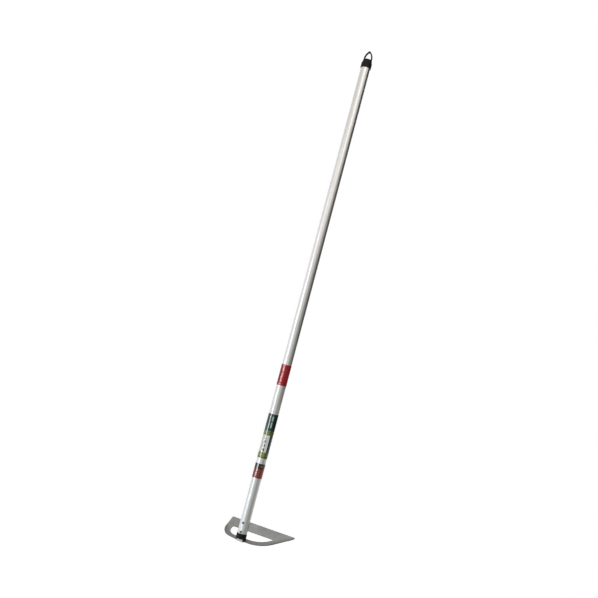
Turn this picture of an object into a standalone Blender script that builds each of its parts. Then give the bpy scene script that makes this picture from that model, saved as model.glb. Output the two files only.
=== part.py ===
"""A long handled slotted hoe: a steel blade whose tang is riveted into an aluminium pipe.

Sizes are in metres. Inside the empty named hoe, +Z runs up the pipe from its lower end, +Y is the
way the blade reaches and +X points to the blade's tip. The empty hangs the whole tool from the
world's origin, which is the top of the eye in its hanging loop.
"""

import math

import bmesh
import bpy
from mathutils import Vector

# Gap kept between pieces that touch
GAP = 0.0003

# Points closer than this are one point, and faces smaller than this are none
SAME_POINT = 0.000005
NO_AREA = 1e-12

# Faces that turn by less than this lie in one plane; by less than the second, they shade as one
FLAT_ANGLE = math.radians(0.05)
SHARP_ANGLE = math.radians(30)

# Handle pipe, a round drawn tube
PIPE_LENGTH = 1.247
PIPE_DIAMETER = 0.025
PIPE_WALL = 0.0012
PIPE_FACETS = 64

# Blade, one plate: across is measured from the pipe's axis, depth from the bowed side to the edge.
# The tip is measured to where its sides would meet before it is rounded.
PLATE_THICKNESS = 0.0025
BLADE_ANGLE = math.radians(60)
BLADE_DEPTH = 0.071
SQUARE_END_ACROSS = 0.058
SQUARE_END_RISE = 0.007
SQUARE_END_CORNER = 0.028
TIP_ACROSS = 0.1217
TIP_ANGLE = math.radians(46.7)
TIP_RADIUS = 0.0027
BOW_START_ACROSS = 0.0205
EDGE_GRIND_WIDTH = 0.007
EDGE_THICKNESS = 0.0006
BOW_STEPS = 16
SQUARE_END_STEPS = 14

# Slot in the blade
EDGE_BAND = 0.031
SIDE_BAND = 0.017
BOW_BAND = 0.011
SLOT_BOW_INSET = 0.0025
SLOT_LOWER_CORNER = 0.019
SLOT_UPPER_CORNER = 0.004
SLOT_TIP_RADIUS = 0.0025
SLOT_CORNER_STEPS = 12

# Tang, the plate's own strip, bent back and up into the pipe
TANG_WIDTH = 0.016
TANG_SIDE_CLEARANCE = 0.0008
TANG_TOP = 0.0355
TANG_END_RADIUS = 0.003
NECK_FILLET = 0.004
BEND_INNER_RADIUS = 0.0035
BEND_DROP = 0.0153
BEND_STEPS = 12

# Plug that fills the pipe round the tang, and its collar below the pipe
COLLAR_PROUD = 0.0005
COLLAR_ABOVE_BEND = 0.0020
COLLAR_CHAMFER = 0.0006
PLUG_TOP = 0.0395
PLUG_LEAD_IN = 0.0015

# Rivets through pipe, plug and tang
LOWER_RIVET_HEIGHT = 0.0039
RIVET_PITCH = 0.0228
RIVET_SHANK_DIAMETER = 0.004
RIVET_HEAD_DIAMETER = 0.0062
RIVET_HEAD_HEIGHT = 0.0014
RIVET_FACETS = 24
RIVET_HEAD_STEPS = 5

# Cap over the pipe's top end: heights are measured from the pipe's end
CAP_SKIRT = 0.0122
CAP_WALL = 0.0013
CAP_RIM_CHAMFER = 0.0005
CAP_LEDGE_HEIGHT = 0.0015
CAP_NECK_HEIGHT = 0.0030
CAP_NECK_INSET = 0.0012
CAP_TOP_HEIGHT = 0.0113
CAP_SHOULDER_WIDTH = 0.0027
SHOULDER_STEPS = 6

# Hanging loop on the cap, a pointed arch
LOOP_SPRING_HEIGHT = 0.0145
LOOP_HALF_WIDTH = 0.0114
LOOP_RISE = 0.0221
LOOP_FOOT_INSET = 0.0003
LOOP_FOOT_HEIGHT = 0.0060
LOOP_DEPTH = 0.0050
LOOP_ROUNDING = 0.0011
LOOP_ROUNDING_STEPS = 2
LOOP_ROUNDED_ANGLE = math.radians(50)
EYE_SILL_ABOVE_TOP = 0.0003
EYE_SPRING_HEIGHT = 0.0145
EYE_HALF_WIDTH = 0.0080
EYE_RISE = 0.0170
EYE_CORNER = 0.0022
ARCH_STEPS = 12

# Stickers: the lower and upper edge of each, as heights above the pipe's lower end
STICKER_THICKNESS = 0.0002
STICKER_FACETS_OPEN = 3
BAND_STICKER_SPAN = (0.378, 0.4315)
MAIN_STICKER_SPAN = (0.191, 0.304)
LOWER_STICKER_SPAN = (0.1405, 0.177)

# Lengths of cutters that run right through a piece
THROUGH = 0.060

# Points on a small corner
CORNER_STEPS = 6

# Colour, metallic and roughness of each material
STEEL = ((0.50, 0.50, 0.49), 1.0, 0.45)
DARK_STEEL = ((0.16, 0.16, 0.165), 1.0, 0.4)
ALUMINIUM = ((0.84, 0.84, 0.82), 1.0, 0.3)
BLACK_PLASTIC = ((0.02, 0.02, 0.022), 0.0, 0.45)
RED_FILM = ((0.47, 0.03, 0.05), 0.0, 0.3)
GREEN_FILM = ((0.03, 0.14, 0.13), 0.0, 0.3)
BROWN_FILM = ((0.26, 0.05, 0.03), 0.0, 0.3)

PIPE_RADIUS = PIPE_DIAMETER / 2
BORE_RADIUS = PIPE_RADIUS - PIPE_WALL
COLLAR_RADIUS = PIPE_RADIUS + COLLAR_PROUD
PLUG_RADIUS = BORE_RADIUS - GAP
HALF_PLATE = PLATE_THICKNESS / 2
HALF_TANG = TANG_WIDTH / 2
HALF_NECK = HALF_TANG + NECK_FILLET
CAP_BORE_RADIUS = PIPE_RADIUS + GAP
CAP_RADIUS = CAP_BORE_RADIUS + CAP_WALL

# The tang stands as far forward in the bore as its corners allow
TANG_FRONT = math.sqrt((BORE_RADIUS - TANG_SIDE_CLEARANCE) ** 2 - HALF_TANG**2)
TANG_BACK = TANG_FRONT - PLATE_THICKNESS

# The bend turns the plate from straight down to the blade's own direction
BEND_MIDDLE_RADIUS = BEND_INNER_RADIUS + HALF_PLATE
BEND_SWEEP = math.pi - BLADE_ANGLE
BEND_LENGTH = BEND_MIDDLE_RADIUS * BEND_SWEEP
BEND_CENTRE_Y = BEND_INNER_RADIUS - TANG_BACK
BEND_CENTRE_Z = -BEND_DROP

# The bend's inner edge, where the blade's flat upper face begins
UPPER_FACE_Y = BEND_CENTRE_Y + BEND_INNER_RADIUS * math.cos(BLADE_ANGLE)
UPPER_FACE_Z = BEND_CENTRE_Z - BEND_INNER_RADIUS * math.sin(BLADE_ANGLE)

RIVET_HEIGHTS = {
    "rivet_lower": LOWER_RIVET_HEIGHT,
    "rivet_upper": LOWER_RIVET_HEIGHT + RIVET_PITCH,
}
STICKERS = {
    "band_sticker": (BAND_STICKER_SPAN, RED_FILM),
    "main_sticker": (MAIN_STICKER_SPAN, GREEN_FILM),
    "lower_sticker": (LOWER_STICKER_SPAN, BROWN_FILM),
}
EYE_TOP = PIPE_LENGTH + EYE_SPRING_HEIGHT + EYE_RISE


def clear_scene():
    for obj in list(bpy.data.objects):
        bpy.data.objects.remove(obj, do_unlink=True)


def new_collection(name):
    collection = bpy.data.collections.new(name)
    bpy.context.scene.collection.children.link(collection)
    return collection


def place(obj, collection, parent):
    """Puts an object in one collection only, under the tool's empty."""
    for other in list(obj.users_collection):
        other.objects.unlink(obj)
    collection.objects.link(obj)
    obj.parent = parent


def make_part(obj):
    place(obj, parts, hoe)
    return obj


def make_cutter(obj):
    place(obj, cutters, hoe)
    obj.hide_render = True
    obj.display_type = "WIRE"
    return obj


def finish(obj, look):
    """Gives a part its own material and smooth round faces with sharp edges."""
    colour, metallic, roughness = look
    material = bpy.data.materials.new(obj.name)
    material.use_nodes = True
    shader = material.node_tree.nodes["Principled BSDF"]
    shader.inputs["Base Color"].default_value = (*colour, 1)
    shader.inputs["Metallic"].default_value = metallic
    shader.inputs["Roughness"].default_value = roughness
    obj.data.materials.append(material)
    obj.data.shade_smooth()
    obj.data.set_sharp_from_angle(angle=SHARP_ANGLE)


def arc(centre, radius, start, end, steps):
    """Points on an arc in a plane, with both ends. Angles are in radians."""
    points = []
    for step in range(steps + 1):
        angle = start + (end - start) * step / steps
        points.append(
            (
                centre[0] + radius * math.cos(angle),
                centre[1] + radius * math.sin(angle),
            )
        )
    return points


def rounded_corner(before, corner, after, radius, steps=CORNER_STEPS):
    """Points that round the corner between two straight sides, no longer than either side."""
    corner = Vector(corner)
    to_before = Vector(before) - corner
    to_after = Vector(after) - corner
    half = to_before.angle(to_after) / 2
    cut_back = min(radius / math.tan(half), to_before.length, to_after.length)
    radius = cut_back * math.tan(half)
    to_before.normalize()
    to_after.normalize()
    centre = corner + (to_before + to_after).normalized() * radius / math.sin(half)
    start = corner + to_before * cut_back - centre
    end = corner + to_after * cut_back - centre
    first = math.atan2(start.y, start.x)
    turn = math.remainder(math.atan2(end.y, end.x) - first, math.tau)
    return arc(centre, radius, first, first + turn, steps)


def pointed_arch(half_width, rise, spring):
    """Points of a pointed arch, from its right spring over the top to its left spring."""
    radius = (half_width**2 + rise**2) / (2 * half_width)
    sweep = math.asin(rise / radius)
    right = arc((half_width - radius, spring), radius, 0, sweep, ARCH_STEPS)
    left = [(-across, height) for across, height in reversed(right[:-1])]
    return right + left


def merge_slivers(shape):
    """Joins each face that has no area to the face across its longest side."""
    slivers = [face for face in shape.faces if face.calc_area() < NO_AREA]
    while slivers:
        longest = max(slivers[0].edges, key=lambda edge: edge.calc_length())
        bmesh.ops.dissolve_edges(shape, edges=[longest])
        slivers = [face for face in shape.faces if face.calc_area() < NO_AREA]


def flat_piece(name, outlines, thickness):
    """A mesh object cut from flat stock, with its outlines in its own XY plane."""
    curve = bpy.data.curves.new(name, "CURVE")
    curve.dimensions = "2D"
    curve.fill_mode = "BOTH"
    curve.extrude = thickness / 2
    for outline in outlines:
        spline = curve.splines.new("POLY")
        spline.points.add(len(outline) - 1)
        for point, (across, along) in zip(spline.points, outline):
            point.co = (across, along, 0, 1)
        spline.use_cyclic_u = True
    drawn = bpy.data.objects.new(name, curve)
    bpy.context.scene.collection.objects.link(drawn)
    bpy.context.view_layer.update()
    graph = bpy.context.evaluated_depsgraph_get()
    mesh = bpy.data.meshes.new_from_object(drawn.evaluated_get(graph))
    place_in_world = drawn.matrix_world.copy()
    bpy.data.objects.remove(drawn, do_unlink=True)
    bpy.data.curves.remove(curve)
    joined = bmesh.new()
    joined.from_mesh(mesh)
    bmesh.ops.remove_doubles(joined, verts=joined.verts, dist=SAME_POINT)
    merge_slivers(joined)
    bmesh.ops.dissolve_limit(
        joined, angle_limit=FLAT_ANGLE, verts=joined.verts, edges=joined.edges
    )
    bmesh.ops.recalc_face_normals(joined, faces=joined.faces)
    joined.to_mesh(mesh)
    joined.free()
    mesh.name = name
    obj = bpy.data.objects.new(name, mesh)
    obj.matrix_world = place_in_world
    return obj


def turned_piece(name, profile, facets, closed=False, turned_facets=None):
    """A profile of (radius, height) points, top to bottom on its outer side, turned about Z."""
    count = len(profile)
    edges = [(first, first + 1) for first in range(count - 1)]
    if closed:
        edges.append((count - 1, 0))
    mesh = bpy.data.meshes.new(name)
    mesh.from_pydata([(radius, 0, height) for radius, height in profile], edges, [])
    obj = bpy.data.objects.new(name, mesh)
    screw = obj.modifiers.new("turn", "SCREW")
    screw.angle = math.tau * (turned_facets or facets) / facets
    screw.steps = turned_facets or facets
    screw.render_steps = screw.steps
    screw.use_merge_vertices = turned_facets is None
    screw.merge_threshold = SAME_POINT
    screw.use_smooth_shade = True
    return obj


def subtract(obj, *tools):
    for tool in tools:
        cut = obj.modifiers.new(tool.name, "BOOLEAN")
        cut.operation = "DIFFERENCE"
        cut.object = tool


def bow(centre_across, radius, low, high):
    """Points from a level bottom round the bow, then straight at the tip's angle up to high."""
    sweep = min(TIP_ANGLE, math.acos(1 - (high - low) / radius))
    bottom = -math.pi / 2
    points = arc((centre_across, low + radius), radius, bottom, bottom + sweep, BOW_STEPS)
    last_across, last_along = points[-1]
    tip = (last_across + (high - last_along) / math.tan(TIP_ANGLE), high)
    return points[:-1] + [tip]


def plate_outlines():
    """The blade and tang as one flat blank, before it is bent, and the slot in it."""
    run = TIP_ACROSS - BOW_START_ACROSS - BLADE_DEPTH / math.tan(TIP_ANGLE)
    bow_radius = run / math.tan(TIP_ANGLE / 2)
    tang_end = -(BEND_LENGTH + BEND_DROP + TANG_TOP)
    edge_end = (-SQUARE_END_ACROSS, BLADE_DEPTH)
    end_foot = (-SQUARE_END_ACROSS, SQUARE_END_RISE)
    neck_edge = (-HALF_NECK, 0)
    blank = bow(BOW_START_ACROSS, bow_radius, 0, BLADE_DEPTH)
    tip = blank.pop()
    blank += rounded_corner(blank[-1], tip, edge_end, TIP_RADIUS)
    blank.append(edge_end)
    blank += rounded_corner(edge_end, end_foot, neck_edge, SQUARE_END_CORNER, SQUARE_END_STEPS)
    neck_centre = (-HALF_NECK, -NECK_FILLET)
    blank += arc(neck_centre, NECK_FILLET, math.pi / 2, 0, CORNER_STEPS)
    left_end = (-HALF_TANG, tang_end)
    right_end = (HALF_TANG, tang_end)
    blank += rounded_corner((-HALF_TANG, 0), left_end, right_end, TANG_END_RADIUS)
    blank += rounded_corner(left_end, right_end, (HALF_TANG, 0), TANG_END_RADIUS)
    neck_centre = (HALF_NECK, -NECK_FILLET)
    blank += arc(neck_centre, NECK_FILLET, math.pi, math.pi / 2, CORNER_STEPS)

    slot_top = BLADE_DEPTH - EDGE_BAND
    slot_left = SIDE_BAND - SQUARE_END_ACROSS
    lower_corner = min(SLOT_LOWER_CORNER, slot_top - BOW_BAND - SLOT_UPPER_CORNER)
    lower_centre = (slot_left + lower_corner, BOW_BAND + lower_corner)
    lower_start = (slot_left, BOW_BAND + lower_corner)
    upper_corner = (slot_left, slot_top)
    bow_centre = BOW_START_ACROSS - SLOT_BOW_INSET
    slot = bow(bow_centre, bow_radius - BOW_BAND, BOW_BAND, slot_top)
    tip = slot.pop()
    slot += rounded_corner(slot[-1], tip, upper_corner, SLOT_TIP_RADIUS)
    slot += rounded_corner(tip, upper_corner, lower_start, SLOT_UPPER_CORNER)
    slot += arc(lower_centre, lower_corner, math.pi, math.pi * 1.5, SLOT_CORNER_STEPS)
    return blank, slot


def ground_edge(along, up):
    """Height of a point of the plate after its cutting edge is ground from below."""
    grind_start = BLADE_DEPTH - EDGE_GRIND_WIDTH
    if up > 0 or along <= grind_start:
        return up
    taken = (along - grind_start) / EDGE_GRIND_WIDTH
    return up + taken * (PLATE_THICKNESS - EDGE_THICKNESS)


def folded(point):
    """Where a point of the flat blank goes when the neck is bent and the tang stands upright."""
    across, along, up = point
    up = ground_edge(along, up)
    radius = BEND_MIDDLE_RADIUS - up
    wrapped = min(max(-along, 0), BEND_LENGTH)
    angle = -BLADE_ANGLE - wrapped / BEND_MIDDLE_RADIUS
    reach = max(along, 0)
    climb = max(-along - BEND_LENGTH, 0)
    y = BEND_CENTRE_Y + radius * math.cos(angle) + reach * math.sin(BLADE_ANGLE)
    z = BEND_CENTRE_Z + radius * math.sin(angle) + reach * math.cos(BLADE_ANGLE)
    return Vector((across, y, z + climb))


def crease(shape, along):
    """Cuts the blank's faces across, where it bends."""
    everything = shape.verts[:] + shape.edges[:] + shape.faces[:]
    bmesh.ops.bisect_plane(
        shape,
        geom=everything,
        dist=SAME_POINT,
        plane_co=(0, along, 0),
        plane_no=(0, 1, 0),
    )


def build_blade():
    blade = flat_piece("blade", plate_outlines(), PLATE_THICKNESS)
    shape = bmesh.new()
    shape.from_mesh(blade.data)

    # The first crease joins the two ends of the neck's fillets on each face
    for face_height in (-HALF_PLATE, HALF_PLATE):
        ends = [
            min(shape.verts, key=lambda vertex: (vertex.co - Vector(end)).length)
            for end in ((-HALF_NECK, 0, face_height), (HALF_NECK, 0, face_height))
        ]
        bmesh.ops.connect_vert_pair(shape, verts=ends)
    for step in range(1, BEND_STEPS + 1):
        crease(shape, -BEND_LENGTH * step / BEND_STEPS)
    crease(shape, BLADE_DEPTH - EDGE_GRIND_WIDTH)
    for vertex in shape.verts:
        vertex.co = folded(vertex.co)
    shape.to_mesh(blade.data)
    shape.free()
    return make_part(blade)


def build_pipe():
    profile = [
        (PIPE_RADIUS, PIPE_LENGTH),
        (PIPE_RADIUS, 0),
        (BORE_RADIUS, 0),
        (BORE_RADIUS, PIPE_LENGTH),
    ]
    return make_part(turned_piece("handle_pipe", profile, PIPE_FACETS, closed=True))


def collar_foot_outline():
    """Side view (along Y, up Z) of what is cut away below the collar.

    In front of the tang the collar ends level. Behind it, it slopes down to the blade, and then
    follows the blade's upper face.
    """
    front_end = BEND_CENTRE_Z + COLLAR_ABOVE_BEND
    slope = math.cos(BLADE_ANGLE) / math.sin(BLADE_ANGLE)
    seat = UPPER_FACE_Z + GAP / math.sin(BLADE_ANGLE)
    heel = BEND_CENTRE_Y + BEND_MIDDLE_RADIUS * math.cos(BLADE_ANGLE)
    return [
        (-THROUGH, front_end),
        (-THROUGH, -THROUGH),
        (THROUGH, -THROUGH),
        (THROUGH, seat + (THROUGH - UPPER_FACE_Y) * slope),
        (heel, seat + (heel - UPPER_FACE_Y) * slope),
        (-TANG_FRONT, front_end),
    ]


def build_plug():
    lowest = -BEND_DROP - BEND_INNER_RADIUS - PLATE_THICKNESS
    profile = [
        (0, PLUG_TOP),
        (PLUG_RADIUS - PLUG_LEAD_IN / 2, PLUG_TOP),
        (PLUG_RADIUS, PLUG_TOP - PLUG_LEAD_IN),
        (PLUG_RADIUS, -GAP),
        (COLLAR_RADIUS - COLLAR_CHAMFER, -GAP),
        (COLLAR_RADIUS, -GAP - COLLAR_CHAMFER),
        (COLLAR_RADIUS, lowest),
        (0, lowest),
    ]
    plug = make_part(turned_piece("tang_plug", profile, PIPE_FACETS))

    foot = make_cutter(flat_piece("collar_foot", [collar_foot_outline()], THROUGH))
    foot.rotation_euler = (math.pi / 2, 0, math.pi / 2)

    # The tang's slot is closed in the collar and open at both sides inside the pipe
    slot_middle = -(TANG_FRONT + TANG_BACK) / 2
    slot_thickness = PLATE_THICKNESS + 2 * GAP
    bpy.ops.mesh.primitive_cube_add(size=1, location=(0, slot_middle, 0))
    slot = make_cutter(bpy.context.object)
    slot.name = "tang_slot"
    slot.scale = (TANG_WIDTH + 2 * GAP, slot_thickness, THROUGH)
    slot.location.z = TANG_TOP + GAP - THROUGH / 2
    bpy.ops.mesh.primitive_cube_add(size=1, location=(0, slot_middle, 0))
    split = make_cutter(bpy.context.object)
    split.name = "plug_split"
    split.scale = (PIPE_DIAMETER, slot_thickness, PLUG_TOP)
    split.location.z = PLUG_TOP / 2 + GAP
    subtract(plug, foot, slot, split)
    return plug


def dome(radius, height, base):
    """Half a profile of a rivet head, from its top on the axis down to its rim."""
    ball = (radius**2 + height**2) / (2 * height)
    rim = math.asin(radius / ball)
    points = []
    for step in range(RIVET_HEAD_STEPS + 1):
        angle = rim * step / RIVET_HEAD_STEPS
        drop = ball * (1 - math.cos(angle))
        points.append((ball * math.sin(angle), base + height - drop))
    return points


def build_rivet(name, height):
    """A solid rivet right through the tool: its own head in front, the set head behind."""
    seat = PIPE_RADIUS + GAP
    front = dome(RIVET_HEAD_DIAMETER / 2, RIVET_HEAD_HEIGHT, seat)
    shank = RIVET_SHANK_DIAMETER / 2
    back = [(across, -along) for across, along in reversed(front)]
    profile = front + [(shank, seat), (shank, -seat)] + back
    rivet = make_part(turned_piece(name, profile, RIVET_FACETS))
    rivet.rotation_euler.x = math.pi / 2
    rivet.location.z = height
    return rivet


def rivet_hole(name, height):
    bpy.ops.mesh.primitive_cylinder_add(
        vertices=RIVET_FACETS,
        radius=RIVET_SHANK_DIAMETER / 2 + GAP,
        depth=THROUGH,
        location=(0, 0, height),
        rotation=(math.pi / 2, 0, 0),
    )
    hole = make_cutter(bpy.context.object)
    hole.name = name
    return hole


def shoulder():
    """The cap's outline from its flat top round the shoulder to its neck."""
    top_radius = CAP_RADIUS - CAP_NECK_INSET - CAP_SHOULDER_WIDTH
    rise = CAP_TOP_HEIGHT - CAP_NECK_HEIGHT
    points = []
    for step in range(SHOULDER_STEPS + 1):
        angle = math.pi / 2 * (1 - step / SHOULDER_STEPS)
        points.append(
            (
                top_radius + CAP_SHOULDER_WIDTH * math.cos(angle),
                CAP_NECK_HEIGHT + rise * math.sin(angle),
            )
        )
    return points


def build_cap():
    profile = [(0, CAP_TOP_HEIGHT)]
    profile += shoulder()
    profile += [
        (CAP_RADIUS - CAP_RIM_CHAMFER, CAP_LEDGE_HEIGHT + CAP_RIM_CHAMFER),
        (CAP_RADIUS, CAP_LEDGE_HEIGHT),
        (CAP_RADIUS, CAP_RIM_CHAMFER - CAP_SKIRT),
        (CAP_RADIUS - CAP_RIM_CHAMFER, -CAP_SKIRT),
        (CAP_BORE_RADIUS, -CAP_SKIRT),
        (CAP_BORE_RADIUS, GAP),
        (0, GAP),
    ]
    cap = make_part(turned_piece("end_cap", profile, PIPE_FACETS))
    cap.location.z = PIPE_LENGTH

    foot = LOOP_HALF_WIDTH - LOOP_FOOT_INSET
    arch = pointed_arch(LOOP_HALF_WIDTH, LOOP_RISE, LOOP_SPRING_HEIGHT)
    arch += [(-foot, LOOP_FOOT_HEIGHT), (foot, LOOP_FOOT_HEIGHT)]
    sill = CAP_TOP_HEIGHT + EYE_SILL_ABOVE_TOP
    eye = pointed_arch(EYE_HALF_WIDTH, EYE_RISE, EYE_SPRING_HEIGHT)
    left_spring = eye[-1]
    right_spring = eye[0]
    left_corner = (-EYE_HALF_WIDTH, sill)
    right_corner = (EYE_HALF_WIDTH, sill)
    eye += rounded_corner(left_spring, left_corner, right_corner, EYE_CORNER)
    eye += rounded_corner(left_corner, right_corner, right_spring, EYE_CORNER)
    loop = make_cutter(flat_piece("hanging_loop", [arch, eye], LOOP_DEPTH))
    loop.rotation_euler.x = math.pi / 2
    loop.location.z = PIPE_LENGTH
    rounding = loop.modifiers.new("rounding", "BEVEL")
    rounding.width = LOOP_ROUNDING
    rounding.segments = LOOP_ROUNDING_STEPS
    rounding.limit_method = "ANGLE"
    rounding.angle_limit = LOOP_ROUNDED_ANGLE
    union = cap.modifiers.new("loop", "BOOLEAN")
    union.operation = "UNION"
    union.object = loop
    return cap


def build_sticker(name, span):
    """A printed sheet wrapped round the pipe, with its open seam at the back."""
    low, high = span
    radius = PIPE_RADIUS + GAP
    kept = PIPE_FACETS - STICKER_FACETS_OPEN
    sticker = turned_piece(
        name, [(radius, high), (radius, low)], PIPE_FACETS, turned_facets=kept
    )
    sheet = sticker.modifiers.new("sheet", "SOLIDIFY")
    sheet.thickness = STICKER_THICKNESS
    sheet.offset = 1
    half_open = math.pi * STICKER_FACETS_OPEN / PIPE_FACETS
    sticker.rotation_euler.z = math.pi / 2 + half_open
    return make_part(sticker)


clear_scene()
parts = new_collection("slotted_hoe")
cutters = new_collection("slotted_hoe_cutters")
hoe = bpy.data.objects.new("hoe", None)
hoe.location.z = -EYE_TOP
parts.objects.link(hoe)

blade_part = build_blade()
pipe_part = build_pipe()
plug_part = build_plug()
for rivet_name, rivet_height in RIVET_HEIGHTS.items():
    finish(build_rivet(rivet_name, rivet_height), DARK_STEEL)
    hole = rivet_hole(rivet_name + "_hole", rivet_height)
    for drilled in (blade_part, pipe_part, plug_part):
        subtract(drilled, hole)
finish(blade_part, STEEL)
finish(pipe_part, ALUMINIUM)
finish(plug_part, BLACK_PLASTIC)
finish(build_cap(), BLACK_PLASTIC)
for sticker_name, (sticker_span, sticker_look) in STICKERS.items():
    finish(build_sticker(sticker_name, sticker_span), sticker_look)
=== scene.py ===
"""Looks of a slotted hoe: bright pipe, grey steel blade, black plastic fittings, printed films.

Everything is in metres. The tool hangs from the origin, which is the top of the eye in its loop:
+Z runs up the pipe, +Y is the way the blade reaches and +X points to the blade's tip.
"""

import math

import bpy
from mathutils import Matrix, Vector


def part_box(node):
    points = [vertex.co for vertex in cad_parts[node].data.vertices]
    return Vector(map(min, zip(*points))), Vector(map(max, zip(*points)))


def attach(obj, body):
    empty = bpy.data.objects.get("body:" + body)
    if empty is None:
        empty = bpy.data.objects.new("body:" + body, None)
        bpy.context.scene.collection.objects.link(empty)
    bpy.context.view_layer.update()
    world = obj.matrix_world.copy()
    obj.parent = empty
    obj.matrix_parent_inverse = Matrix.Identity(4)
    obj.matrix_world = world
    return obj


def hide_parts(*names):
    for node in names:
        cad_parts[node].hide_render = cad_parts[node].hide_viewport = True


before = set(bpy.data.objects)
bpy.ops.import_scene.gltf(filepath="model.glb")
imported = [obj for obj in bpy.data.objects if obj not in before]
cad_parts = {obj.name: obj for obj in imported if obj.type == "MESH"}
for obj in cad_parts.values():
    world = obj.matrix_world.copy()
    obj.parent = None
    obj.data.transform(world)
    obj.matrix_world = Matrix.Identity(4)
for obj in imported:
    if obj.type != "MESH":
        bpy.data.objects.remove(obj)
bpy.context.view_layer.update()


# Blade
# One piece of spring steel plate, stamped to a D with a D-shaped slot. Its tang is part of the
# plate, bent back and up into the pipe. The straight edge is ground thin from below. The steel is
# bare: it shows rolling grain, scratches and dull patches, and is darker toward its bowed side.
# Its bend is lightened with a painted highlight.

BLADE_EDGE_RADIUS = 0.00022
STEEL_LIGHT = (0.345, 0.345, 0.337, 1)
STEEL_DARK = (0.235, 0.235, 0.228, 1)
STEEL_BRIGHT = (0.56, 0.56, 0.55, 1)
STEEL_STAIN = (0.13, 0.125, 0.115, 1)

# The plate's middle layer: one point of it, and how far it reaches and rises per metre
PLATE_MIDDLE_FORWARD = 0.001574
PLATE_MIDDLE_UP = -1.297914
PLATE_REACH = 0.866
PLATE_RISE = 0.5

# Its bowed side: where it starts, how far it is straight each way, and how it rounds off
BOW_START = 0.0016
BOW_STRAIGHT_TO_TIP = 0.0205
BOW_STRAIGHT_TO_SQUARE_END = 0.0300
BOW_ROUND_TO_TIP = 0.155
BOW_ROUND_TO_SQUARE_END = 0.030

# Distances from the middle layer, and where the darker rim, the dull end and the bend's painted
# highlight lie
STAMPED_WALL = (0.00112, 0.00098)
WORN_CORNER = (0.00106, 0.00121)
CORNER_SOFTNESS = 0.00003
DARKER_RIM = (0.022, 0.006)
DULL_END_SIDEWAYS = (-0.036, -0.050)
DULL_END_FORWARD = (0.054, 0.038)
BEND_HIGHLIGHT_FORWARD = (0.0034, 0.0004)
BEND_HIGHLIGHT_HALF_WIDTH = (0.0092, 0.0080)

# Sizes of the marks on the steel
GRAIN_SIZE = 0.014
HAIR_SIZE = 0.030
PATCH_SIZE = 0.040
STAIN_SIZE = 0.009
SCRATCH_SIZE = 0.024

# How a CAD mesh is merged and how edges are shaded, with the angles in degrees
MERGE_WITHIN = 0.000002
FLAT_BELOW = 0.3
SMOOTH_BELOW = 35
LARGE_FACE_WEIGHT = 90


class Tone:
    """A socket of a material's nodes. Sums written with it add the nodes that work them out."""

    def __init__(self, tree, socket=None):
        self.tree = tree
        self.socket = socket

    def add(self, kind, settings, sockets, output=0):
        """Adds a node: first its settings, then a value or a link for each socket named."""
        node = self.tree.nodes.new("ShaderNode" + kind)
        for name, value in settings.items():
            setattr(node, name, value)
        for name, value in sockets.items():
            self.feed(node.inputs[name], value)
        return Tone(self.tree, node.outputs[output])

    def other(self, output):
        """Another output of the node that this one comes from."""
        return Tone(self.tree, self.socket.node.outputs[output])

    def feed(self, socket, value):
        """Gives a socket a value, or a link where the value is another socket."""
        if isinstance(value, Tone):
            self.tree.links.new(value.socket, socket)
        else:
            socket.default_value = value

    def maths(self, operation, *values):
        """A Math node on these values."""
        return self.add("Math", {"operation": operation}, dict(enumerate(values)))

    def __add__(self, other):
        return self.maths("ADD", self, other)

    __radd__ = __add__

    def __sub__(self, other):
        return self.maths("SUBTRACT", self, other)

    def __rsub__(self, other):
        return self.maths("SUBTRACT", other, self)

    def __mul__(self, other):
        return self.maths("MULTIPLY", self, other)

    __rmul__ = __mul__

    def __truediv__(self, other):
        return self.maths("DIVIDE", self, other)

    def __rtruediv__(self, other):
        return self.maths("DIVIDE", other, self)

    def __abs__(self):
        return self.maths("ABSOLUTE", self)

    def at_least(self, lowest):
        """This value, or the other one where that is larger."""
        return self.maths("MAXIMUM", self, lowest)

    def rise(self, low, high):
        """0 below low, 1 above high and smooth between them. With low above high it falls."""
        return self.add(
            "MapRange",
            {"interpolation_type": "SMOOTHSTEP"},
            {"Value": self, "From Min": low, "From Max": high},
        )

    def within(self, low, high, soft):
        """1 between low and high, and 0 outside them."""
        return self.rise(low - soft, low + soft) * self.rise(high + soft, high - soft)

    def along(self, axis):
        """How far a place lies along X, Y or Z, for axis 0, 1 or 2."""
        return self.add("SeparateXYZ", {}, {"Vector": self}, output=axis)

    def stretched(self, x, y, z):
        """Places on the piece, scaled along each axis, so that a pattern runs long or short."""
        return self.add("Mapping", {}, {"Vector": self, "Scale": (x, y, z)})

    def noise(self, size, detail=3, roughness=0.5):
        """Cloudy values whose patches are about this size in metres."""
        return self.add(
            "TexNoise",
            {},
            {"Vector": self, "Scale": 1 / size, "Detail": detail, "Roughness": roughness},
        )

    def mix(self, first, second):
        """The first colour where this is 0, and the second where it is 1."""
        return self.add("Mix", {"data_type": "RGBA"}, {0: self, 6: first, 7: second}, output=2)


def start_finish(piece, name):
    """Gives a piece one new material. Returns its shader and the place on the piece."""
    material = bpy.data.materials.new(name)
    material.use_nodes = True
    piece.data.materials.clear()
    piece.data.materials.append(material)
    tree = material.node_tree
    return tree.nodes["Principled BSDF"], Tone(tree).add("TexCoord", {}, {}, output="Object")


def set_finish(shader, place, height=None, **values):
    """Sets the shader's sockets: Base_Color for Base Color, and so on. height feeds a bump."""
    if height is not None:
        values["Normal"] = place.add(
            "Bump", {}, {"Strength": 1.0, "Distance": 1.0, "Height": height}
        )
    for name, value in values.items():
        place.feed(shader.inputs[name.replace("_", " ")], value)


def only(piece):
    """Selects one object and makes it the active one."""
    bpy.ops.object.select_all(action="DESELECT")
    piece.select_set(True)
    bpy.context.view_layer.objects.active = piece


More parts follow.
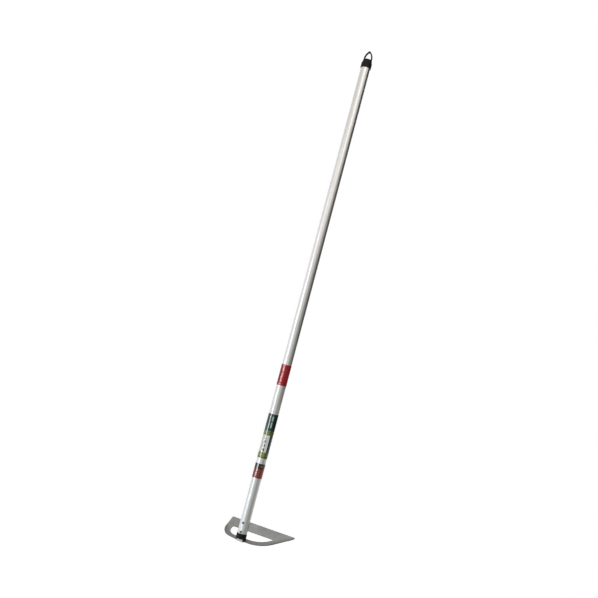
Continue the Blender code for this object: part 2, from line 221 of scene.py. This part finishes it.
def copy_of_node(node, name):
    """A merged copy of a CAD node's mesh, with its flat faces whole again."""
    piece = bpy.data.objects.new(name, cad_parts[node].data.copy())
    bpy.context.scene.collection.objects.link(piece)
    only(piece)
    bpy.ops.object.mode_set(mode="EDIT")
    bpy.ops.mesh.select_all(action="SELECT")
    bpy.ops.mesh.remove_doubles(threshold=MERGE_WITHIN)
    bpy.ops.mesh.dissolve_limited(angle_limit=math.radians(FLAT_BELOW))
    bpy.ops.object.mode_set(mode="OBJECT")
    return piece


def round_edges(piece, width, sharper_than, segments=2):
    """Rounds the edges that turn by more than these degrees. Large faces stay even up to them."""
    only(piece)
    rounding = piece.modifiers.new("rounding", "BEVEL")
    rounding.width = width
    rounding.segments = segments
    rounding.limit_method = "ANGLE"
    rounding.angle_limit = math.radians(sharper_than)
    rounding.harden_normals = False
    bpy.ops.object.modifier_apply(modifier=rounding.name)
    bpy.ops.object.shade_smooth_by_angle(angle=math.radians(SMOOTH_BELOW))
    even = piece.modifiers.new("even shading", "WEIGHTED_NORMAL")
    even.mode = "FACE_AREA"
    even.weight = LARGE_FACE_WEIGHT
    even.keep_sharp = True
    bpy.ops.object.modifier_apply(modifier=even.name)


def put_on(piece, *nodes):
    """The piece stands for these CAD nodes: it hangs from the root body, and their meshes are
    hidden.
    """
    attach(piece, "root")
    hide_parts(*nodes)


blade = copy_of_node("blade", "slotted_blade")
round_edges(blade, BLADE_EDGE_RADIUS, sharper_than=25)
put_on(blade, "blade")

shader, place = start_finish(blade, "bare spring steel")
sideways = place.along(0)
forward = place.along(1)
upward = place.along(2)
above_middle = (upward - PLATE_MIDDLE_UP) * PLATE_REACH
through = abs(above_middle - (forward - PLATE_MIDDLE_FORWARD) * PLATE_RISE)
to_tip = (sideways - BOW_STRAIGHT_TO_TIP).at_least(0.0)
to_square_end = (sideways * -1 - BOW_STRAIGHT_TO_SQUARE_END).at_least(0.0)
from_bow = (forward - BOW_START) / PLATE_REACH - to_tip * to_tip / BOW_ROUND_TO_TIP
from_bow = from_bow - to_square_end * to_square_end / BOW_ROUND_TO_SQUARE_END

grain = place.stretched(1, 16, 16).noise(GRAIN_SIZE, detail=5, roughness=0.65)
hairs = place.stretched(1, 45, 45).noise(HAIR_SIZE, detail=2)
patches = place.noise(PATCH_SIZE, detail=3, roughness=0.55)
stains = place.noise(STAIN_SIZE, detail=4, roughness=0.6).rise(0.60, 0.78)
scratches = place.stretched(2, 60, 60).noise(SCRATCH_SIZE, detail=2).rise(0.62, 0.68)
worn = (patches * 0.45 + grain * 0.45 + hairs * 0.25).rise(0.38, 0.78)
wall = through.rise(*STAMPED_WALL)
corner = through.within(*WORN_CORNER, CORNER_SOFTNESS)
darker_rim = from_bow.rise(*DARKER_RIM) * (patches * 0.6 + 0.35)
dull_end = sideways.rise(*DULL_END_SIDEWAYS) * forward.rise(*DULL_END_FORWARD)
bend_highlight = forward.rise(*BEND_HIGHLIGHT_FORWARD) * abs(sideways).rise(*BEND_HIGHLIGHT_HALF_WIDTH)

colour = worn.mix(STEEL_DARK, STEEL_LIGHT)
colour = (stains * 0.25).mix(colour, STEEL_STAIN)
colour = (scratches * 0.30 + corner * 0.55).mix(colour, STEEL_BRIGHT)
colour = (wall * 0.45).mix(colour, STEEL_STAIN)
# the steel gets darker toward the bowed side
colour = (darker_rim * 0.85).mix(colour, STEEL_STAIN)
colour = (dull_end * 0.30).mix(colour, STEEL_STAIN)
# painted highlight: the bend is mixed toward bright steel, varied by the wear pattern
colour = (bend_highlight * (0.45 + worn * 0.45)).mix(colour, STEEL_BRIGHT)
set_finish(
    shader,
    place,
    Base_Color=colour,
    Metallic=1.0,
    Roughness=0.50 - worn * 0.10 - scratches * 0.08 + stains * 0.12 + wall * 0.10,
    height=grain * 0.00004 + hairs * 0.00002 - scratches * 0.00002,
)


# Tang plug
# Black polypropylene plug, moulded in one piece. Two tongues hold the tang inside the pipe, and
# the collar closes the pipe's lower end and rests on the blade. A fine spark texture and a
# parting line are left by the mould.

PLUG_EDGE_RADIUS = 0.00025
PLASTIC_BLACK = (0.003, 0.003, 0.0035, 1)
PLASTIC_GREY = (0.008, 0.008, 0.0085, 1)
PARTING_HALF_WIDTH = 0.00007
PARTING_SOFTNESS = 0.00005
SPARK_SIZE = 0.00045
FLOW_SIZE = 0.009
SCUFF_SIZE = 0.0025


def black_plastic(piece, name, parting_axis):
    """Textured black plastic, with a parting line where the place along an axis is 0."""
    shader, place = start_finish(piece, name)
    across = place.along(parting_axis)
    texture = place.noise(SPARK_SIZE, detail=2)
    flow = place.stretched(1, 1, 0.4).noise(FLOW_SIZE, detail=3)
    scuffs = place.stretched(1, 1, 5).noise(SCUFF_SIZE, detail=4).rise(0.58, 0.72)
    parting = across.within(-PARTING_HALF_WIDTH, PARTING_HALF_WIDTH, PARTING_SOFTNESS)
    tone = (flow * 0.6 + scuffs * 0.5).rise(0.25, 0.85)
    set_finish(
        shader,
        place,
        Base_Color=tone.mix(PLASTIC_BLACK, PLASTIC_GREY),
        Roughness=0.40 + flow * 0.12 + scuffs * 0.12,
        Specular_IOR_Level=0.20,
        height=texture * 0.00005 + parting * 0.00006 + flow * 0.00008,
    )


plug = copy_of_node("tang_plug", "tang_plug_with_collar")
round_edges(plug, PLUG_EDGE_RADIUS, sharper_than=30)
put_on(plug, "tang_plug")
black_plastic(plug, "moulded plug plastic", 0)


# Handle pipe
# Drawn aluminium tube with a clear satin anodised skin, sawn to length and deburred at its ends.
# Drawing leaves fine lines along it. Two holes are drilled right through it for the rivets.

PIPE_OUTER_RADIUS = 0.0125
PIPE_WALL = 0.0012
PIPE_LOW = -1.2785
PIPE_HIGH = -0.0315
PIPE_FACETS = 160
PIPE_DEBURR = 0.00025
RIVET_HOLE_RADIUS = 0.0023
RIVET_HOLE_FACETS = 40
RIVET_HEIGHTS = (-1.2746, -1.2518)
RING_FROM_HOLE = 0.0031
DRILL_LENGTH = 0.06
ALUMINIUM = (0.80, 0.80, 0.795, 1)
ALUMINIUM_DULL = (0.64, 0.64, 0.635, 1)
ALUMINIUM_MARK = (0.52, 0.52, 0.52, 1)
FINE_LINE_SIZE = 0.00030
BROAD_LINE_SIZE = 0.0022
HAZE_SIZE = 0.03
PIPE_SCRATCH_SIZE = 0.0009
RUB_SIZE = 0.008


def select_faces(piece, wanted):
    """In edit mode, selects the faces for which wanted is true and nothing else."""
    bpy.ops.object.mode_set(mode="EDIT")
    bpy.ops.mesh.select_mode(type="FACE")
    bpy.ops.mesh.select_all(action="DESELECT")
    bpy.ops.object.mode_set(mode="OBJECT")
    for face in piece.data.polygons:
        face.select = wanted(face)
    bpy.ops.object.mode_set(mode="EDIT")


def settle(piece):
    """Moves an object's place into its mesh."""
    only(piece)
    bpy.ops.object.transform_apply(location=True, rotation=True, scale=True)


def ring_cut(piece, height):
    """Splits the long walls at a height, so that a hole's rim leaves the rest of them even."""
    select_faces(piece, lambda face: True)
    bpy.ops.mesh.bisect(plane_co=(0, 0, height), plane_no=(0, 0, 1))
    bpy.ops.object.mode_set(mode="OBJECT")


def drill(piece, height):
    """Cuts a round hole for a rivet right through, along Y."""
    bpy.ops.mesh.primitive_cylinder_add(
        vertices=RIVET_HOLE_FACETS,
        radius=RIVET_HOLE_RADIUS,
        depth=DRILL_LENGTH,
        location=(0, 0, height),
    )
    bit = bpy.context.object
    bit.rotation_euler.x = math.pi / 2
    only(piece)
    hole = piece.modifiers.new("hole", "BOOLEAN")
    hole.operation = "DIFFERENCE"
    hole.solver = "EXACT"
    hole.object = bit
    bpy.ops.object.modifier_apply(modifier=hole.name)
    bpy.data.objects.remove(bit, do_unlink=True)


bpy.ops.object.select_all(action="DESELECT")
bpy.ops.mesh.primitive_cylinder_add(
    vertices=PIPE_FACETS,
    radius=PIPE_OUTER_RADIUS,
    depth=PIPE_HIGH - PIPE_LOW,
    location=(0, 0, (PIPE_HIGH + PIPE_LOW) / 2),
)
pipe = bpy.context.object
pipe.name = "aluminium_pipe"
select_faces(pipe, lambda face: abs(face.normal.z) > 0.9)
bpy.ops.mesh.inset(thickness=PIPE_WALL)
bpy.ops.mesh.bridge_edge_loops()
bpy.ops.object.mode_set(mode="OBJECT")
settle(pipe)
for rivet_height in RIVET_HEIGHTS:
    ring_cut(pipe, rivet_height - RING_FROM_HOLE)
    ring_cut(pipe, rivet_height + RING_FROM_HOLE)
    drill(pipe, rivet_height)
round_edges(pipe, PIPE_DEBURR, sharper_than=50)
put_on(pipe, "handle_pipe")

shader, place = start_finish(pipe, "satin anodised aluminium")
fine_lines = place.stretched(1, 1, 0.004).noise(FINE_LINE_SIZE, detail=3, roughness=0.6)
broad_lines = place.stretched(1, 1, 0.010).noise(BROAD_LINE_SIZE, detail=3, roughness=0.6)
haze = place.stretched(1, 1, 0.4).noise(HAZE_SIZE, detail=4)
scratches = place.stretched(1, 1, 0.03).noise(PIPE_SCRATCH_SIZE, detail=2).rise(0.70, 0.76)
rubs = place.stretched(1, 1, 0.5).noise(RUB_SIZE, detail=5).rise(0.62, 0.80)
streak = (fine_lines * 0.35 + broad_lines * 0.75).rise(0.35, 0.75)
colour = (streak * 0.6 + haze * 0.4).mix(ALUMINIUM_DULL, ALUMINIUM)
colour = (rubs * 0.25 + scratches * 0.35).mix(colour, ALUMINIUM_MARK)
set_finish(
    shader,
    place,
    Base_Color=colour,
    Metallic=1.0,
    Roughness=0.30 + haze * 0.06 + streak * 0.06 + rubs * 0.10,
    height=fine_lines * 0.00001 + broad_lines * 0.00003 - scratches * 0.00001,
)


# Rivets
# Two solid steel rivets, blackened, driven from the front through pipe, plug and tang. Each has
# its made round head in front, and a head of the same shape is set behind.

RIVET_SHANK_RADIUS = 0.0020
RIVET_HEAD_RADIUS = 0.0031
RIVET_HEAD_HEIGHT = 0.0014
RIVET_HEAD_ROUNDING = 0.9 * RIVET_HEAD_HEIGHT
RIVET_SEAT = 0.0128
RIVET_FACETS = 48
RIVET_EDGE_RADIUS = 0.00008
RIVET_BLACK = (0.11, 0.11, 0.115, 1)
RIVET_WORN = (0.24, 0.24, 0.24, 1)
HAMMER_MARK_SIZE = 0.0013
RIVET_RUB_SIZE = 0.0016

for rivet_node, rivet_height in zip(("rivet_lower", "rivet_upper"), RIVET_HEIGHTS):
    bpy.ops.object.select_all(action="DESELECT")
    bpy.ops.mesh.primitive_cylinder_add(
        vertices=RIVET_FACETS,
        radius=RIVET_SHANK_RADIUS,
        depth=2 * RIVET_SEAT,
        location=(0, 0, rivet_height),
        rotation=(math.pi / 2, 0, 0),
    )
    rivet = bpy.context.object
    rivet.name = rivet_node + "_solid"
    settle(rivet)
    for side in (-1, 1):
        select_faces(rivet, lambda face: face.center.y * side > RIVET_SEAT - 0.0001)
        bpy.ops.mesh.extrude_region_move()
        wider = RIVET_HEAD_RADIUS / RIVET_SHANK_RADIUS
        bpy.ops.transform.resize(value=(wider, 1, wider))
        bpy.ops.mesh.extrude_region_move(
            TRANSFORM_OT_translate={"value": (0, side * RIVET_HEAD_HEIGHT, 0)}
        )
        bpy.ops.mesh.bevel(offset=RIVET_HEAD_ROUNDING, segments=8, profile=0.5, affect="EDGES")
        bpy.ops.object.mode_set(mode="OBJECT")
    round_edges(rivet, RIVET_EDGE_RADIUS, sharper_than=60, segments=1)
    put_on(rivet, rivet_node)
    shader, place = start_finish(rivet, rivet_node + " blackened steel")
    hammered = place.noise(HAMMER_MARK_SIZE, detail=2)
    rubbed = place.noise(RIVET_RUB_SIZE, detail=3).rise(0.42, 0.72)
    set_finish(
        shader,
        place,
        Base_Color=rubbed.mix(RIVET_BLACK, RIVET_WORN),
        Metallic=1.0,
        Roughness=0.42 + hammered * 0.2,
        height=hammered * 0.00012 + rubbed * 0.00002,
    )


# End cap
# Black polypropylene cap pressed over the pipe's top end, moulded in one piece with its pointed
# hanging loop. The sleeve ends in a low ledge below the dome.

CAP_EDGE_RADIUS = 0.00022

cap = copy_of_node("end_cap", "end_cap_with_loop")
round_edges(cap, CAP_EDGE_RADIUS, sharper_than=40)
put_on(cap, "end_cap")
black_plastic(cap, "moulded cap plastic", 1)


# Printed films
# Three glossy printed films wrapped round the pipe and glued, each with its open seam at the back
# and one flat strip along its front. They carry only plain bands, bars and rules. Painted shade
# darkens the green film's teal and lime fields toward one side, and painted light brightens the
# red film left of its middle.

FILM_INNER_RADIUS = 0.0128
FILM_THICKNESS = 0.0002
FILM_EDGE_RADIUS = 0.00006
FILM_FACETS = 192
SEAM_FACETS = 3
FRONT_TURN = math.radians(19)
FLAT_TURN = math.radians(-5.0)
DUST_GREY = (0.55, 0.54, 0.52, 1)
DUST_SIZE = 0.0016
RIPPLE_SIZE = 0.007
PRINT_SOFTNESS = 0.00012


def wrap_film(name, node, flat):
    """A thin sheet round the pipe, open at the back, with a flat strip of this width in front."""
    low, high = (corner.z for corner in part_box(node))
    bpy.ops.object.select_all(action="DESELECT")
    bpy.ops.mesh.primitive_cylinder_add(
        vertices=FILM_FACETS,
        radius=FILM_INNER_RADIUS,
        depth=high - low,
        end_fill_type="NOTHING",
        location=(0, 0, (high + low) / 2),
    )
    film = bpy.context.object
    film.name = name
    settle(film)
    half_flat = flat / 2 / FILM_INNER_RADIUS
    for corner in film.data.vertices:
        turn = math.atan2(corner.co.x, -corner.co.y) - FLAT_TURN
        if abs(turn) < half_flat:
            inward = math.cos(half_flat) / math.cos(turn)
            corner.co.x *= inward
            corner.co.y *= inward
    half_seam = math.pi * SEAM_FACETS / FILM_FACETS
    select_faces(
        film,
        lambda face: abs(math.atan2(face.center.x, face.center.y)) < half_seam,
    )
    bpy.ops.mesh.delete(type="FACE")
    bpy.ops.object.mode_set(mode="OBJECT")
    sheet = film.modifiers.new("sheet", "SOLIDIFY")
    sheet.thickness = FILM_THICKNESS
    sheet.offset = 1
    only(film)
    bpy.ops.object.modifier_apply(modifier=sheet.name)
    round_edges(film, FILM_EDGE_RADIUS, sharper_than=60, segments=1)
    put_on(film, node)
    return film


def start_film(film, name):
    """The film's shader, its place, and how far round from its front each point lies."""
    shader, place = start_finish(film, name)
    turn = place.maths("ARCTAN2", place.along(0), place.along(1) * -1) - FRONT_TURN
    return shader, place, turn * FILM_INNER_RADIUS


def above_foot(place, node):
    """How far each point lies above the film's lower edge."""
    return place.along(2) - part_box(node)[0].z


def printed(measure, low, high):
    """1 between two edges of a printed mark, and 0 outside them."""
    return measure.within(low, high, PRINT_SOFTNESS)


def past(measure, edge):
    """0 before an edge between two printed fields, and 1 past it."""
    return measure.rise(edge - PRINT_SOFTNESS, edge + PRINT_SOFTNESS)


def finish_film(shader, place, colour, gloss):
    """Gloss, dust and ripples."""
    dust = place.stretched(1, 1, 0.5).noise(DUST_SIZE, detail=4).rise(0.64, 0.76)
    ripples = place.stretched(1, 1, 0.35).noise(RIPPLE_SIZE, detail=2)
    set_finish(
        shader,
        place,
        Base_Color=(dust * 0.08).mix(colour, DUST_GREY),
        Roughness=0.05 + dust * 0.25 + ripples * 0.03,
        IOR=gloss,
        height=ripples * 0.00001 + dust * 0.00001,
    )


# Red film: deep red, with painted light brightening it left of its middle
BAND_FLAT = 0.0053
BAND_GLOSS = 1.39
BAND_RED = (0.36, 0.018, 0.022, 1)
BAND_RED_DEEP = (0.22, 0.010, 0.014, 1)
BAND_RED_PAINTED_LIGHT = (0.74, 0.045, 0.060, 1)
PAINTED_LIGHT_STARTS = (-0.0118, -0.0042)
PAINTED_LIGHT_ENDS = (0.0002, -0.0036)

band = wrap_film("red_band_film", "band_sticker", BAND_FLAT)
shader, place, around = start_film(band, "red printed film")
colour = place.noise(0.01, detail=2).mix(BAND_RED_DEEP, BAND_RED)
# painted light: the red is lit up left of its middle
bright = around.rise(*PAINTED_LIGHT_STARTS) * around.rise(*PAINTED_LIGHT_ENDS)
colour = bright.mix(colour, BAND_RED_PAINTED_LIGHT)
finish_film(shader, place, colour, BAND_GLOSS)

# Green film, from its foot: lime field, white panel with dark marks, lime band with two rules,
# teal field with two pale bars
MAIN_FLAT = 0.0034
MAIN_GLOSS = 1.52
FILM_TEAL = (0.018, 0.075, 0.064, 1)
FILM_TEAL_PRINT_AND_SHADE = (0.003, 0.016, 0.009, 1)
FILM_MINT = (0.50, 0.66, 0.57, 1)
FILM_LIME = (0.26, 0.31, 0.085, 1)
FILM_LIME_SHADED = (0.075, 0.090, 0.018, 1)
FILM_WHITE = (0.74, 0.76, 0.74, 1)
FILM_INK = (0.03, 0.035, 0.03, 1)
PANEL_FOOT = 0.0156
PANEL_TOP = 0.0588
TEAL_FOOT = 0.0702
FOOT_LINE = (0.0022, 0.0044)
TEAL_PAINTED_SHADE = (0.0035, 0.0045)
LIME_PAINTED_SHADE = (0.0005, 0.0072)
PANEL_SIDE = (0.0056, 0.0058)
BAR_SIDES = (-0.0004, 0.0028)
BAR_LOW = (0.078, 0.092)
BAR_HIGH = (0.095, 0.107)
RULE_SIDES = (-0.0025, 0.0085)
RULE_LOW = (0.0605, 0.0622)
RULE_HIGH = (0.0660, 0.0680)
MARK_SIDES = (-0.0052, -0.0004)
MARKS_AND_STRENGTHS = (
    (0.0180, 0.0250, 1),
    (0.0290, 0.0356, 0.85),
    (0.0394, 0.0460, 0.75),
    (0.0496, 0.0518, 0.7),
)

main = wrap_film("green_main_film", "main_sticker", MAIN_FLAT)
shader, place, around = start_film(main, "green printed film")
up = above_foot(place, "main_sticker")
# painted shade: the teal field darkens toward one side
teal = around.rise(*TEAL_PAINTED_SHADE).mix(FILM_TEAL, FILM_TEAL_PRINT_AND_SHADE)
bars = printed(around, *BAR_SIDES) * (printed(up, *BAR_LOW) + printed(up, *BAR_HIGH))
teal = (bars * 0.9).mix(teal, FILM_MINT)
# painted shade: the lime darkens toward one side
lime = around.rise(*LIME_PAINTED_SHADE).mix(FILM_LIME, FILM_LIME_SHADED)
rules = printed(around, *RULE_SIDES) * (printed(up, *RULE_LOW) + printed(up, *RULE_HIGH))
lime = (rules * 0.85).mix(lime, FILM_INK)
marks = sum(printed(up, low, high) * strength for low, high, strength in MARKS_AND_STRENGTHS)
panel = (printed(around, *MARK_SIDES) * marks * 0.92).mix(FILM_WHITE, FILM_INK)
panel = around.rise(*PANEL_SIDE).mix(panel, FILM_TEAL_PRINT_AND_SHADE)
colour = past(up, PANEL_FOOT).mix(lime, panel)
colour = past(up, PANEL_TOP).mix(colour, lime)
colour = past(up, TEAL_FOOT).mix(colour, teal)
colour = (printed(up, *FOOT_LINE) * 0.7).mix(colour, FILM_INK)
finish_film(shader, place, colour, MAIN_GLOSS)

# Brown film: brown below, and black above with one tan mark
LOWER_FLAT = 0.0046
LOWER_GLOSS = 1.55
FILM_BROWN = (0.23, 0.028, 0.012, 1)
FILM_BLACK = (0.010, 0.005, 0.002, 1)
FILM_TAN = (0.22, 0.12, 0.08, 1)
BLACK_FOOT = 0.0236
TAN_MARK_SIDES = (0.0030, 0.0080)
TAN_MARK = (0.0278, 0.0326)

lower = wrap_film("brown_lower_film", "lower_sticker", LOWER_FLAT)
shader, place, around = start_film(lower, "brown printed film")
up = above_foot(place, "lower_sticker")
mark = printed(around, *TAN_MARK_SIDES) * printed(up, *TAN_MARK)
head = (mark * 0.9).mix(FILM_BLACK, FILM_TAN)
colour = past(up, BLACK_FOOT).mix(FILM_BROWN, head)
finish_film(shader, place, colour, LOWER_GLOSS)


# Floor
# A plain white studio floor below the hanging tool, wide enough to meet the white backdrop. It
# glows a little where it is looked at, and takes the tool's shadow.

FLOOR_HEIGHT = -1.80
FLOOR_SIZE = 60
FLOOR_WHITE = (0.86, 0.86, 0.86, 1)
FLOOR_GLOW = (0.53, 0.53, 0.53, 1)
NO_GLOW = (0, 0, 0, 1)


def looked_at(tree):
    """1 for the camera's rays, reflected ones and ones through clear pieces. 0 for the rest."""
    straight = Tone(tree).add("LightPath", {}, {}, output="Is Camera Ray")
    reflected = straight.other("Is Glossy Ray")
    through_clear = straight.other("Is Transmission Ray")
    return straight.at_least(reflected).at_least(through_clear)


bpy.ops.object.select_all(action="DESELECT")
bpy.ops.mesh.primitive_plane_add(size=FLOOR_SIZE, location=(0, 0, FLOOR_HEIGHT))
floor = bpy.context.object
floor.name = "studio_floor"
shader, place = start_finish(floor, "white studio floor")
set_finish(
    shader,
    place,
    Base_Color=FLOOR_WHITE,
    Roughness=0.9,
    Emission_Color=looked_at(place.tree).mix(NO_GLOW, FLOOR_GLOW),
    Emission_Strength=1.0,
)


# Backdrop and light
# A white backdrop all round and three soft boxes: a tall strip in front on the left, one high in
# front and one overhead. Cards out of the picture shape what the metal reflects: warm ones high
# up, cool ones low down and dark ones on the right.

BACKDROP_LIGHT = (0.50, 0.50, 0.50, 1)
BACKDROP_WHITE = (1, 1, 1, 1)

world = bpy.data.worlds.new("white backdrop")
world.use_nodes = True
bpy.context.scene.world = world
seen = looked_at(world.node_tree)
backdrop = world.node_tree.nodes["Background"]
seen.feed(backdrop.inputs["Color"], seen.mix(BACKDROP_LIGHT, BACKDROP_WHITE))


def facing(location, aim, front):
    """The turn that points an object's front from its location at an aim."""
    return (Vector(aim) - Vector(location)).to_track_quat(front, "Y").to_euler()


def soft_box(name, location, aim, size, power, tint=(1, 1, 1)):
    """A rectangular soft lamp that faces a point."""
    lamp = bpy.data.lights.new(name, "AREA")
    lamp.shape = "RECTANGLE"
    lamp.size, lamp.size_y = size
    lamp.energy = power
    lamp.color = tint
    holder = bpy.data.objects.new(name, lamp)
    bpy.context.scene.collection.objects.link(holder)
    holder.location = location
    holder.rotation_euler = facing(location, aim, "-Z")


def card(name, location, aim, size, glow, tint=(1, 1, 1)):
    """A large card that only reflections show. It glows as bright and as warm as it looks."""
    bpy.ops.object.select_all(action="DESELECT")
    bpy.ops.mesh.primitive_plane_add(size=1, location=location)
    sheet = bpy.context.object
    sheet.name = name
    sheet.scale = (*size, 1)
    sheet.rotation_euler = facing(location, aim, "Z")
    sheet.visible_camera = False
    sheet.visible_shadow = False
    sheet.visible_diffuse = False
    shader, place = start_finish(sheet, name + " card")
    set_finish(
        shader,
        place,
        Base_Color=NO_GLOW,
        Specular_IOR_Level=0.0,
        Emission_Color=(*(glow * part for part in tint), 1),
        Emission_Strength=1.0,
    )


soft_box(
    "tall strip left",
    location=(-1.10, -1.91, -0.77),
    aim=(0, 0, -0.77),
    size=(0.065, 1.5),
    power=6.2,
)
soft_box(
    "soft box high front",
    location=(0.85, -2.42, 0.95),
    aim=(0, 0, -0.10),
    size=(1.3, 1.5),
    power=6.5,
    tint=(1, 0.96, 0.91),
)
soft_box(
    "soft box overhead",
    location=(-0.5, 0.7, 1.3),
    aim=(0, 0, -1.1),
    size=(1.6, 1.6),
    power=8,
)
card(
    "warm high front",
    location=(1.30, -3.00, 1.35),
    aim=(0, 0, -0.10),
    size=(4.4, 2.1),
    glow=1.0,
    tint=(1, 0.94, 0.85),
)
card(
    "grey front",
    location=(0.90, -2.45, -0.90),
    aim=(0, 0, -0.90),
    size=(2.7, 2.1),
    glow=0.66,
    tint=(1, 1, 0.97),
)
card(
    "grey high left",
    location=(-2.10, -0.90, 1.10),
    aim=(0, 0, -0.10),
    size=(3.2, 1.6),
    glow=0.80,
    tint=(1, 0.95, 0.87),
)
card(
    "dark right",
    location=(2.42, -0.75, -0.70),
    aim=(0, 0, -0.70),
    size=(2.4, 2.20),
    glow=0.28,
    tint=(1, 0.97, 0.88),
)
card(
    "dark back right",
    location=(2.28, 1.59, 0.94),
    aim=(0, 0, 0.94),
    size=(4.58, 4.51),
    glow=0.02,
    tint=(1, 0.97, 0.90),
)
card(
    "grey low right",
    location=(1.30, 0.00, -1.70),
    aim=(1.30, 0.00, 0.00),
    size=(2.0, 3.4),
    glow=0.37,
    tint=(0.93, 1, 0.95),
)
card(
    "cool low front",
    location=(0.44, -1.55, -1.70),
    aim=(0.44, -1.55, 0.00),
    size=(1.2, 1.9),
    glow=0.38,
    tint=(0.70, 1.02, 1.06),
)
card(
    "cool low left",
    location=(-2.00, -0.90, -1.80),
    aim=(0, 0, -1.25),
    size=(2.6, 1.1),
    glow=1.0,
    tint=(0.84, 0.95, 1.12),
)
card(
    "grey ceiling",
    location=(-1.10, 1.10, 2.20),
    aim=(-0.50, 0.50, -1.20),
    size=(3.6, 3.6),
    glow=0.40,
)


# Camera
# A little to the right of the tool's front, level with its lower middle, turned so that the
# handle leans across the picture. The turn is in degrees.

CAMERA_PLACE = (0.6287, -1.8071, -0.8365)
CAMERA_TURN = (94.924, -14.842, 18.261)
CAMERA_LENS = 45.151
CAMERA_SENSOR = 36
CAMERA_SHIFT = (-0.00090, 0.00084)

camera = bpy.data.cameras.new("camera")
camera.sensor_width = CAMERA_SENSOR
camera.lens = CAMERA_LENS
camera.shift_x, camera.shift_y = CAMERA_SHIFT
camera_holder = bpy.data.objects.new("camera", camera)
bpy.context.scene.collection.objects.link(camera_holder)
camera_holder.location = CAMERA_PLACE
camera_holder.rotation_euler = [math.radians(angle) for angle in CAMERA_TURN]
bpy.context.scene.camera = camera_holder
bpy.context.scene.view_settings.view_transform = "Standard"
